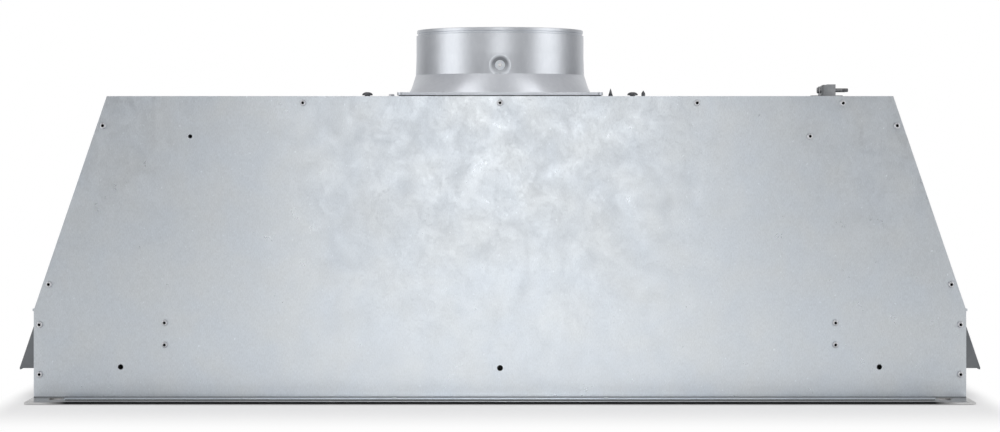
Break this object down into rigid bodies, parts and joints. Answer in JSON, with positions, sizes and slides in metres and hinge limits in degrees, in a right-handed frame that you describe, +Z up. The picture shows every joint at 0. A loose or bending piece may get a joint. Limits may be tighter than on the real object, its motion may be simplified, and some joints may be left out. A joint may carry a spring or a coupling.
{
  "type": "range hood insert",
  "caption": "Range hood insert: sheet-metal body with sloping ends, round duct collar and damper on top, baffle filters, lamps, buttons and a blower inside.",
  "frame": {"origin": "centre of the insert on the surface that its lip rests on", "axes": "+X to the right of the front panel, +Y from the front panel to the back, +Z up"},
  "size_m": [1.0694, 0.496, 0.4154],
  "materials": {
    "galvanised_sheet": "mill-finish zinc coating with a fine spangle",
    "galvanised_collar": "plain zinc-coated sheet, satin",
    "stainless": "brushed stainless, grain along X",
    "baffle_steel": "brushed stainless, grain along the baffles",
    "zinc_screws": "zinc-plated, slightly dull",
    "dark_screws": "black oxide",
    "cable_clamp": "dark grey die casting",
    "foam": "closed-cell foam",
    "nylon": "natural nylon",
    "bakelite": "black phenolic",
    "grommet": "black rubber",
    "motor_paint": "black stoved paint",
    "shaft_steel": "ground steel",
    "capacitor_can": "pale plastic can",
    "button": "semi-gloss",
    "lamp_metal": "satin, finned",
    "lens": "frosted",
    "spring_steel": "spring wire",
    "latch_steel": "spring strip, dull zinc"
  },
  "bodies": {
    "insert": {"back_panel": "galvanised_sheet", "blower_brackets": "galvanised_sheet", "blower_scroll": "galvanised_sheet", "blower_side_left": "galvanised_sheet", "blower_side_right": "galvanised_sheet", "cable_clamp_body": "cable_clamp", "capacitor": "capacitor_can", "collar_gasket": "foam", "control_bezel": "stainless", "damper_axle": "shaft_steel", "damper_bushes": "nylon", "damper_collar": "galvanised_collar", "face_frame": "stainless", "filter_recess": "stainless", "frame_brackets": "galvanised_sheet", "front_panel": "galvanised_sheet", "grease_gutter": "stainless", "lamp_left": "lamp_metal", "lamp_lenses": "lens", "lamp_right": "lamp_metal", "latch_pins": "zinc_screws", "latch_springs": "spring_steel", "motor_bracket": "motor_paint", "motor_grommets": "grommet", "motor_housing": "motor_paint", "panel_screws": "zinc_screws", "service_cover": "galvanised_sheet", "side_panel_left": "galvanised_sheet", "side_panel_right": "galvanised_sheet", "slope_panel_left": "galvanised_sheet", "slope_panel_right": "galvanised_sheet", "switch_block": "bakelite", "terminal_block": "bakelite", "top_fasteners": "zinc_screws", "top_panel": "galvanised_sheet", "wiring_box": "galvanised_sheet", "wiring_box_cover": "galvanised_sheet"},
    "filter_left": {"filter_left_frame": "stainless", "filter_left_baffles": "baffle_steel"},
    "filter_latch_left": {"filter_left_latch": "stainless"},
    "filter_middle": {"filter_middle_frame": "stainless", "filter_middle_baffles": "baffle_steel"},
    "filter_latch_middle": {"filter_middle_latch": "stainless"},
    "filter_right": {"filter_right_frame": "stainless", "filter_right_baffles": "baffle_steel"},
    "filter_latch_right": {"filter_right_latch": "stainless"},
    "blower_rotor": {"blower_wheel": "galvanised_sheet", "motor_shaft": "shaft_steel"},
    "damper_left": {"damper_flap_left": "galvanised_collar"},
    "damper_right": {"damper_flap_right": "galvanised_collar"},
    "button_light": {"button_light": "button"},
    "button_low": {"button_low": "button"},
    "button_medium": {"button_medium": "button"},
    "button_high": {"button_high": "button"},
    "side_latch_left_front": {"side_latch_left_front": "latch_steel"},
    "side_latch_left_rear": {"side_latch_left_rear": "latch_steel"},
    "side_latch_right_front": {"side_latch_right_front": "latch_steel"},
    "side_latch_right_rear": {"side_latch_right_rear": "latch_steel"},
    "cable_saddle": {"cable_clamp_saddle": "cable_clamp", "cable_clamp_screws": "dark_screws"}
  },
  "joints": [
    {"name": "filter_left_hinge", "type": "hinge", "parent": "insert", "child": "filter_left", "pos_m": [0, 0.168, 0.0245], "axis": [1, 0, 0], "range_deg": [0, 75]},
    {"name": "filter_left_latch_slide", "type": "slide", "parent": "filter_left", "child": "filter_latch_left", "axis": [0, 0.9903, -0.1392], "range_m": [0, 0.006], "stiffness_N_per_m": 300, "springref_m": -0.004},
    {"name": "filter_middle_hinge", "type": "hinge", "parent": "insert", "child": "filter_middle", "pos_m": [0, 0.168, 0.0245], "axis": [1, 0, 0], "range_deg": [0, 75]},
    {"name": "filter_middle_latch_slide", "type": "slide", "parent": "filter_middle", "child": "filter_latch_middle", "axis": [0, 0.9903, -0.1392], "range_m": [0, 0.006], "stiffness_N_per_m": 300, "springref_m": -0.004},
    {"name": "filter_right_hinge", "type": "hinge", "parent": "insert", "child": "filter_right", "pos_m": [0, 0.168, 0.0245], "axis": [1, 0, 0], "range_deg": [0, 75]},
    {"name": "filter_right_latch_slide", "type": "slide", "parent": "filter_right", "child": "filter_latch_right", "axis": [0, 0.9903, -0.1392], "range_m": [0, 0.006], "stiffness_N_per_m": 300, "springref_m": -0.004},
    {"name": "blower_spin", "type": "hinge", "parent": "insert", "child": "blower_rotor", "pos_m": [0, 0.052, 0.205], "axis": [-1, 0, 0], "continuous": true},
    {"name": "damper_left_hinge", "type": "hinge", "parent": "insert", "child": "damper_left", "pos_m": [0, 0, 0.3714], "axis": [0, 1, 0], "range_deg": [0, 75]},
    {"name": "damper_right_hinge", "type": "hinge", "parent": "insert", "child": "damper_right", "pos_m": [0, 0, 0.3714], "axis": [0, -1, 0], "range_deg": [0, 75]},
    {"name": "button_light_press", "type": "slide", "parent": "insert", "child": "button_light", "axis": [0, 0, 1], "range_m": [0, 0.002], "stiffness_N_per_m": 300, "springref_m": -0.002},
    {"name": "button_low_press", "type": "slide", "parent": "insert", "child": "button_low", "axis": [0, 0, 1], "range_m": [0, 0.002], "stiffness_N_per_m": 300, "springref_m": -0.002},
    {"name": "button_medium_press", "type": "slide", "parent": "insert", "child": "button_medium", "axis": [0, 0, 1], "range_m": [0, 0.002], "stiffness_N_per_m": 300, "springref_m": -0.002},
    {"name": "button_high_press", "type": "slide", "parent": "insert", "child": "button_high", "axis": [0, 0, 1], "range_m": [0, 0.002], "stiffness_N_per_m": 300, "springref_m": -0.002},
    {"name": "side_latch_left_front_hinge", "type": "hinge", "parent": "insert", "child": "side_latch_left_front", "pos_m": [-0.50755, -0.162, 0.0915], "axis": [0, -1, 0], "range_deg": [0, 18], "stiffness_Nm_per_rad": 0.3, "springref_deg": -28.65, "deforming": ["latch_springs"]},
    {"name": "side_latch_left_rear_hinge", "type": "hinge", "parent": "insert", "child": "side_latch_left_rear", "pos_m": [-0.50755, 0.162, 0.0915], "axis": [0, -1, 0], "range_deg": [0, 18], "stiffness_Nm_per_rad": 0.3, "springref_deg": -28.65},
    {"name": "side_latch_right_front_hinge", "type": "hinge", "parent": "insert", "child": "side_latch_right_front", "pos_m": [0.50755, -0.162, 0.0915], "axis": [0, 1, 0], "range_deg": [0, 18], "stiffness_Nm_per_rad": 0.3, "springref_deg": -28.65},
    {"name": "side_latch_right_rear_hinge", "type": "hinge", "parent": "insert", "child": "side_latch_right_rear", "pos_m": [0.50755, 0.162, 0.0915], "axis": [0, 1, 0], "range_deg": [0, 18], "stiffness_Nm_per_rad": 0.3, "springref_deg": -28.65},
    {"name": "cable_saddle_slide", "type": "slide", "parent": "insert", "child": "cable_saddle", "axis": [1, 0, 0], "range_m": [0, 0.005]}
  ]
}
